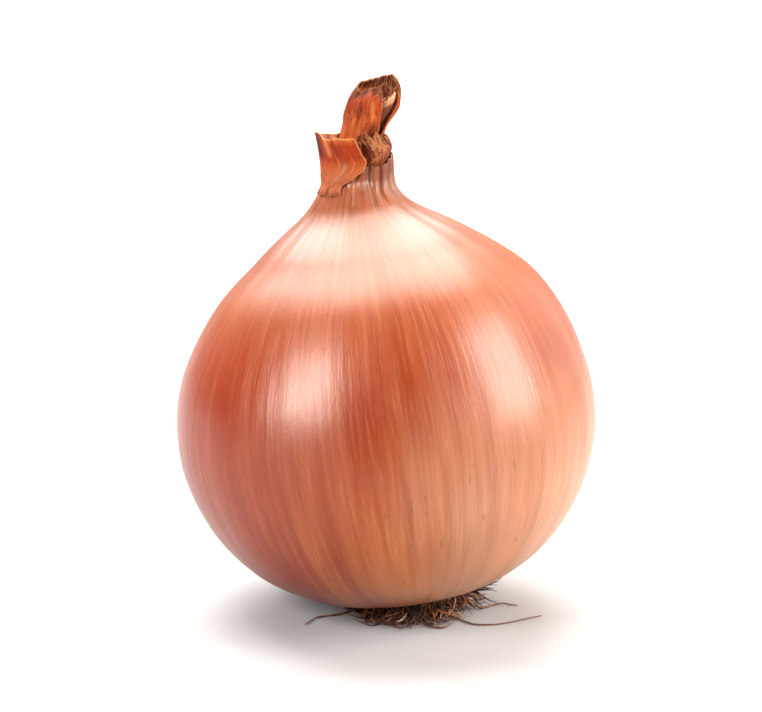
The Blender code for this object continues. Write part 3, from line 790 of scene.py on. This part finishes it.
def makeScaleMaterial(name, look):
    made = bpy.data.materials.new(name)
    made.use_nodes = True
    tree = made.node_tree
    shader = tree.nodes["Principled BSDF"]
    place = addNode(tree, "Attribute", attribute_name="leafPlace").outputs["Vector"]
    edge = addNode(tree, "Attribute", attribute_name="tornEdge").outputs["Fac"]
    shade = addNode(tree, "Attribute", attribute_name="scaleShade").outputs["Fac"]
    split = addNode(tree, "SeparateXYZ", {0: place})
    stretched = addNode(
        tree, "Mapping", {"Vector": place, "Scale": (look["across"], look["along"], 1.0)}
    )
    finely = addNode(
        tree, "Mapping", {"Vector": place, "Scale": (look["fine"], look["along"] * 2, 1.0)}
    )
    bands = addNode(
        tree, "TexNoise", {"Vector": stretched.outputs[0], "Scale": 1.0, "Detail": 4.0, "Distortion": 0.1}
    ).outputs["Fac"]
    fibres = addNode(
        tree, "TexNoise", {"Vector": finely.outputs[0], "Scale": 1.0, "Detail": 4.0, "Distortion": 0.15}
    ).outputs["Fac"]
    crumple = addNode(
        tree, "TexNoise", {"Vector": place, "Scale": scaleGrain["crumple"], "Detail": 5.0, "Roughness": 0.6}
    )
    shifted = addNode(tree, "Math", {0: bands, 1: 0.24, 2: -0.12}, operation="MULTIPLY_ADD")
    upward = addNode(tree, "Math", {0: split.outputs["Y"], 1: shifted.outputs[0]}, operation="ADD")
    warped = addNode(
        tree, "Mix", {0: scaleGrain["warp"], 4: place, 5: crumple.outputs["Color"]}, data_type="VECTOR"
    )
    netPlace = addNode(
        tree, "Mapping",
        {
            "Vector": warped.outputs[1], "Scale": (*look["netCells"], 1.0),
            "Rotation": (0, 0, math.radians(28)),
        },
    )
    net = addNode(
        tree, "TexVoronoi", {"Vector": netPlace.outputs[0], "Scale": 1.0}, feature="DISTANCE_TO_EDGE"
    )
    frayed = addNode(
        tree, "Math", {0: fibres, 1: -look["lipWidth"], 2: edge}, operation="MULTIPLY_ADD"
    )
    share = {}
    for name, (source, start, end, atStart, atEnd) in {  # as in the skin's look
        "net": (net.outputs["Distance"], 0.01, 0.11, look["net"], 0.0),
        "dark": (bands, 0.32, 0.50, look["darkness"], 0.0),
        "pale": (fibres, 0.54, 0.72, 0.0, look["paleness"]),
        "thread": (fibres, 0.30, 0.42, look["darkness"], 0.0),
        "lip": (frayed.outputs[0], 0.0, look["lipWidth"], 0.5, 0.0),
        # pale marks and painted highlights, where the scale's shade value is below 0
        "paleAndLit": (shade, -1.0, 0.0, 1.0, 0.0),
    }.items():
        share[name] = addNode(
            tree, "MapRange",
            {"Value": source, "From Min": start, "From Max": end, "To Min": atStart, "To Max": atEnd},
        ).outputs[0]
    broken = addNode(tree, "Math", {0: fibres, 1: 0.8, 2: -0.4}, operation="MULTIPLY_ADD")
    shadeHere = addNode(
        tree, "Math", {0: shade, 1: broken.outputs[0]}, operation="ADD", use_clamp=True
    )
    # rot and painted shade from the scale's shade value, broken up by its fibres
    rotAndShade = addNode(tree, "Math", {0: shadeHere.outputs[0], 1: shade}, operation="MINIMUM")
    colour = addNode(
        tree, "ValToRGB", {"Fac": upward.outputs[0]},
        stops=[(at, hexColour(code)) for at, code in look["rise"]],
    ).outputs["Color"]
    for amount, code in (
        (share["dark"], "dark"), (share["pale"], "pale"), (share["thread"], "dark"),
        (share["paleAndLit"], "pale"), (rotAndShade.outputs[0], "dark"), (share["net"], "pale"),
        (share["lip"], "lip"),
    ):
        colour = addNode(
            tree, "Mix", {0: amount, 6: colour, 7: hexColour(look[code])}, data_type="RGBA"
        ).outputs[2]
    tree.links.new(colour, shader.inputs["Base Color"])
    gloss = addNode(
        tree, "Math", {0: fibres, 1: 0.22, 2: look["roughness"] - 0.1}, operation="MULTIPLY_ADD"
    )
    tree.links.new(gloss.outputs[0], shader.inputs["Roughness"])
    relief = addNode(
        tree, "Math", {0: fibres, 1: scaleGrain["fibres"], 2: crumple.outputs["Fac"]},
        operation="MULTIPLY_ADD",
    )
    raised = addNode(
        tree, "Math", {0: share["net"], 1: scaleGrain["net"], 2: relief.outputs[0]},
        operation="MULTIPLY_ADD",
    )
    bump = addNode(tree, "Bump", {"Height": raised.outputs[0], **scaleGrain["bump"]})
    tree.links.new(bump.outputs[0], shader.inputs["Normal"])
    shader.inputs["Specular IOR Level"].default_value = look["specular"]
    for name, value in scaleDepth.items():
        shader.inputs[name].default_value = value
    return made


scaleMaterials = {name: makeScaleMaterial("dry scale, " + name, look) for name, look in scaleLooks.items()}
finishPiece(
    makeSheet("collarScale", collar, collarSurface, False, collarShade),
    [scaleMaterials["collar"], scaleMaterials["collarInside"]], "collar_scale",
)
finishPiece(
    makeSheet("fibrousScale", fibrous, fibrousSurface, False, noShade),
    [scaleMaterials["fibrous"], scaleMaterials["fibrousInside"]], "fibrous_scale",
)
finishPiece(
    makeSheet("curledLeaf", curled, curledSurface, True, curledShade),
    [scaleMaterials["curled"], scaleMaterials["curledInside"]], "curled_leaf",
)
finishPiece(
    makeSheet("paleInnerLeaf", innerLeaf, innerSurface, True, innerShade),
    [scaleMaterials["innerLeaf"], scaleMaterials["innerLeaf"]], "inner_leaf",
)
print("the neck has its scales")


# The root plate and its dry roots

plate = {
    "radius": 11.9, "sides": 120, "rings": 26, "lumps": 0.35, "tone": 0.02,
    "top": ((11.75, 0.9), (11.6, 1.5), (10.0, 2.1), (8.44, 2.45), (4.0, 2.45), (0, 2.45)),
}
roots = {
    "sides": 6,
    "rings": 12,
    "seed": 23,
    "wiryRadius": 0.22,
    "loopRadius": 0.26,
    "sag": -0.45,  # how steeply a root heads down where its group doesn't say
    "clear": 0.03,  # mm above the table
}
rootGroups = (  # degrees round the plate, mm from its middle, mm long, mm in radius, and how pale they may be
    dict(count=240, round=(0, 360), start=(4.5, 11.5), long=(3.0, 7.0), radius=(0.10, 0.26), pale=0.75),
    dict(count=210, round=(62, 330), start=(11.5, 12.1), long=(0.9, 2.8), radius=(0.09, 0.22), pale=0.45),
    dict(count=70, round=(-30, 62), start=(11.5, 12.1), long=(0.8, 1.8), radius=(0.09, 0.22), pale=0.45),
    dict(
        count=75, round=(-6, 44), start=(10.5, 12.0), long=(3.0, 7.5), radius=(0.10, 0.26), pale=0.4,
        rise=0.30,
    ),
    dict(count=80, round=(222, 300), start=(8.5, 12.0), long=(4.0, 8.5), radius=(0.09, 0.24), pale=0.6),
    dict(count=50, round=(290, 350), start=(10.0, 12.0), long=(2.5, 5.0), radius=(0.09, 0.24), pale=0.9),
)
paleLoops = (  # two bleached roots that curl up in front, as points in mm
    (
        (3.2, -10.6, 1.0), (3.7, -12.9, 1.9), (3.9, -14.4, 1.8), (3.3, -15.2, 1.0), (2.4, -15.0, 0.4),
        (1.8, -13.9, 0.3),
    ),
    (
        (8.6, -7.8, 1.4), (10.9, -10.4, 2.5), (12.0, -11.9, 2.5), (12.2, -12.9, 1.5), (11.4, -13.2, 0.6),
        (10.4, -12.4, 0.3),
    ),
)
wiryRoutes = (  # the long wiry roots on the table, as points in mm
    ((7.0, -6.5), (9.3, -8.2), (12.5, -10.8), (17.0, -16.4), (22.9, -15.6), (30.1, -11.0)),
    ((4.5, -8.0), (7.0, -12.6), (8.0, -16.9), (10.6, -18.6), (13.0, -15.4)),
    ((0.5, -8.5), (-1.4, -11.6), (-0.4, -15.8), (3.0, -18.6)),
    ((12.0, 2.0), (17.3, 9.0), (20.3, 15.6), (25.4, 23.0), (31.0, 31.0)),
    ((-3.0, 5.5), (-10.0, 9.5), (-16.0, 12.4), (-23.6, 15.0)),
    ((-4.0, -5.5), (-9.0, -10.0), (-13.4, -12.2), (-15.8, -16.8)),
    ((4.0, 8.0), (3.0, 15.0), (6.4, 21.4), (4.4, 28.0)),
    ((13.0, -5.0), (18.4, -6.4), (22.0, -3.6), (25.6, -4.8)),
)


def plateUnderside(radius):  # the dome's height in the axis frame, in mm
    dome = stand["domeRadius"] / mm
    return dome - stand["plateDrop"] / mm - math.sqrt(dome**2 - radius**2)


def makePlate():
    outline = []
    for k in range(plate["rings"] + 1):
        radius = plate["radius"] * k / plate["rings"]
        outline.append((radius, plateUnderside(radius)))
    outline += plate["top"]
    bm = bmesh.new()
    points = [bm.verts.new((out * mm, 0, up * mm)) for out, up in outline]
    edges = [bm.edges.new(pair) for pair in zip(points, points[1:])]
    bmesh.ops.spin(
        bm, geom=points + edges, axis=(0, 0, 1), cent=(0, 0, 0), angle=math.tau,
        steps=plate["sides"], use_merge=True,
    )
    bmesh.ops.remove_doubles(bm, verts=bm.verts, dist=0.002 * mm)
    bmesh.ops.recalc_face_normals(bm, faces=bm.faces)
    tone = bm.verts.layers.float.new("rootTone")
    bmesh.ops.transform(bm, matrix=axis, verts=bm.verts)
    for vert in bm.verts:
        vert[tone] = plate["tone"]
        spot = vert.co / mm
        lumps = 0.30 * grain(spot.x * 1.1, spot.y * 1.1, 1) + 0.2 * crease(spot.x * 0.7, spot.y * 0.7, 4)
        inward = spot - axis @ Vector((0, 0, 0.002)) / mm
        if spot.z < 6 and inward.length > 4:
            spot -= inward.normalized() * lumps * plate["lumps"]
        spot.z = max(spot.z, 0.0)
        vert.co = spot * mm
    mesh = bpy.data.meshes.new("rootPlate")
    bm.to_mesh(mesh)
    bm.free()
    return mesh


def straightRoot():  # one root of length and radius 1 along Z, in rings
    bm = bmesh.new()
    bmesh.ops.create_circle(bm, cap_ends=True, segments=roots["sides"], radius=1.0)
    bmesh.ops.reverse_faces(bm, faces=bm.faces)
    edges = list(bm.edges)
    for k in range(roots["rings"]):
        grown = bmesh.ops.extrude_edge_only(bm, edges=edges)["geom"]
        points = [part for part in grown if isinstance(part, bmesh.types.BMVert)]
        bmesh.ops.translate(bm, vec=(0, 0, 1 / roots["rings"]), verts=points)
        fresh = set(points)
        edges = [part for part in grown if isinstance(part, bmesh.types.BMEdge) and set(part.verts) <= fresh]
    bmesh.ops.holes_fill(bm, edges=edges)
    bmesh.ops.recalc_face_normals(bm, faces=bm.faces)
    mesh = bpy.data.meshes.new("straightRoot")
    bm.to_mesh(mesh)
    bm.free()
    return mesh


def bendRoot(bm, straight, path, thick, colour, tip=0.25):  # lays a straight root along a path, in mm
    first = len(bm.verts)
    bm.from_mesh(straight)
    bm.verts.ensure_lookup_table()
    tone = bm.verts.layers.float["rootTone"]
    last = len(path) - 1
    for vert in bm.verts[first:]:
        x, y, t = vert.co
        at = t * last
        i = min(int(at), last - 1)
        here = path[i].lerp(path[i + 1], at - i)
        before, after = path[max(i - 1, 0)], path[min(i + 2, last)]
        along = (after - before).normalized()
        across = along.cross(Vector((0.13, 0.21, 1.0))).normalized()
        up = across.cross(along)
        wide = thick * (1 - (1 - tip) * t**1.5) * (1 + 0.2 * grain(t * 9, thick * 50, colour * 7))
        spot = here + wide * (x * across + y * up)
        spot.z = max(spot.z, roots["clear"])
        vert.co = spot * mm
        vert[tone] = colour


def underside(x, y):  # how high above the table the plate or the skin hangs over a place, in mm
    spot = (axis.inverted() @ (Vector((x, y, 2.0)) * mm)) / mm
    radius = math.hypot(spot.x, spot.y)
    rim = plate["radius"]
    hangs = plateUnderside(radius) if radius < rim else valueAt(((rim, 0.3), *bulb["outline"][:3]), radius)
    return (axis @ (Vector((spot.x, spot.y, hangs)) * mm)).z / mm


def shortPath(draw, angle, start, length, rise):  # from under the plate, out and down in a curl, in mm
    sunk = 0.35 if start < 11.3 else draw.uniform(0.2, 1.0)
    foot = Vector((start * math.cos(angle), start * math.sin(angle), plateUnderside(start) + sunk)) * mm
    here = (axis @ foot) / mm
    heading = Vector((math.cos(angle), math.sin(angle), rise + draw.uniform(-0.4, 0.5)))
    turn = draw.uniform(-0.20, 0.20)
    wobble = draw.uniform(0.15, 0.7)
    phase = draw.uniform(0, 9)
    path = [here.copy()]
    for k in range(roots["rings"]):
        heading = Matrix.Rotation(turn + wobble * grain(k * 0.55, phase), 3, "Z") @ heading
        heading.z += 0.14 * grain(k * 0.5, phase, 4) + (0.25 if here.z < 0.5 else -0.05 if rise < 0 else 0.0)
        heading.z = min(0.5, max(-0.9, heading.z))
        here = here + heading.normalized() * length / roots["rings"]
        here.z = max(min(here.z, underside(here.x, here.y) - 0.3), 0.2)
        path.append(here.copy())
    return path


def makeRoots():
    draw = random.Random(roots["seed"])
    straight = straightRoot()
    bm = bmesh.new()
    bm.from_mesh(makePlate())
    for group in rootGroups:
        first, last = (math.radians(edge) for edge in group["round"])
        for i in range(group["count"]):
            angle = first + (last - first) * (i * 0.618034 % 1.0)
            start = draw.uniform(*group["start"])
            length = draw.uniform(*group["long"])
            thick = draw.uniform(*group["radius"])
            colour = group["pale"] * draw.random() ** 1.7
            path = shortPath(draw, angle, start, length, group.get("rise", roots["sag"]))
            bendRoot(bm, straight, path, thick, colour)
    for loop in paleLoops:
        bendRoot(bm, straight, smoothCurve(loop, 6), roots["loopRadius"], 1.0, 0.6)
    for i, route in enumerate(wiryRoutes):
        flat = smoothCurve([(x, y, 0.0) for x, y in route], 7)
        spot = (axis.inverted() @ (Vector((*route[0], 2.0)) * mm)) / mm
        spot.z = plateUnderside(min(11.5, math.hypot(spot.x, spot.y))) + 0.3
        startHeight = max((axis @ (spot * mm)).z / mm, roots["wiryRadius"])
        path = []
        for k, point in enumerate(flat):
            drop = smoothStep(0, 8, k)
            kink = 0.22 * grain(k * 0.7, i * 3.1)
            lift = 0.30 * max(0.0, grain(k * 0.35, i * 5.7, 2)) * drop
            height = roots["wiryRadius"] + roots["clear"] + lift
            height += (startHeight - roots["wiryRadius"]) * (1 - drop)
            path.append(Vector((point.x + kink, point.y + kink * 0.7, height)))
        bendRoot(bm, straight, path, roots["wiryRadius"], 0.25 + 0.15 * grain(i * 2.3), 0.45)
    mesh = bpy.data.meshes.new("rootTuft")
    bm.to_mesh(mesh)
    bm.free()
    mesh.shade_smooth()
    return bpy.data.objects.new("rootTuft", mesh)


# Dry root: a thin wiry fibre, dull, brown where it is old and straw where its bark has peeled

rootLook = {
    "tones": ((0.0, "2c1206"), (0.25, "54280f"), (0.5, "865029"), (0.75, "b58a5c"), (1.0, "e8caa0")),
    "dirt": "2a1308",
    "roughness": 0.62,
    "patchScale": 700.0,  # patches of bark about 1.4 mm long
    "fleckScale": 2600.0,  # flecks of dirt about 0.4 mm wide
    "bump": {"Distance": 0.00008, "Strength": 0.7},
}


def makeRootMaterial():
    made = bpy.data.materials.new("dry wiry root")
    made.use_nodes = True
    tree = made.node_tree
    shader = tree.nodes["Principled BSDF"]
    tone = addNode(tree, "Attribute", attribute_name="rootTone")
    place = addNode(tree, "TexCoord")
    patches = addNode(
        tree, "TexNoise",
        {"Vector": place.outputs["Object"], "Scale": rootLook["patchScale"], "Detail": 3.0},
    )
    flecks = addNode(
        tree, "TexNoise",
        {"Vector": place.outputs["Object"], "Scale": rootLook["fleckScale"], "Detail": 2.0},
    )
    moved = addNode(tree, "Math", {0: patches.outputs["Fac"], 1: 0.5, 2: -0.25}, operation="MULTIPLY_ADD")
    mixed = addNode(tree, "Math", {0: tone.outputs["Fac"], 1: moved.outputs[0]}, operation="ADD")
    colour = addNode(
        tree, "ValToRGB", {"Fac": mixed.outputs[0]},
        stops=[(at, hexColour(code)) for at, code in rootLook["tones"]],
    )
    dirt = addNode(
        tree, "MapRange",
        {"Value": flecks.outputs["Fac"], "From Min": 0.33, "From Max": 0.45, "To Min": 0.6, "To Max": 0.0},
    )
    dirty = addNode(
        tree, "Mix", {0: dirt.outputs[0], 6: colour.outputs["Color"], 7: hexColour(rootLook["dirt"])},
        data_type="RGBA",
    )
    tree.links.new(dirty.outputs[2], shader.inputs["Base Color"])
    shader.inputs["Roughness"].default_value = rootLook["roughness"]
    bump = addNode(tree, "Bump", {"Height": flecks.outputs["Fac"], **rootLook["bump"]})
    tree.links.new(bump.outputs[0], shader.inputs["Normal"])
    return made


finishPiece(makeRoots(), [makeRootMaterial()], "root_plate")
print("the roots are on")
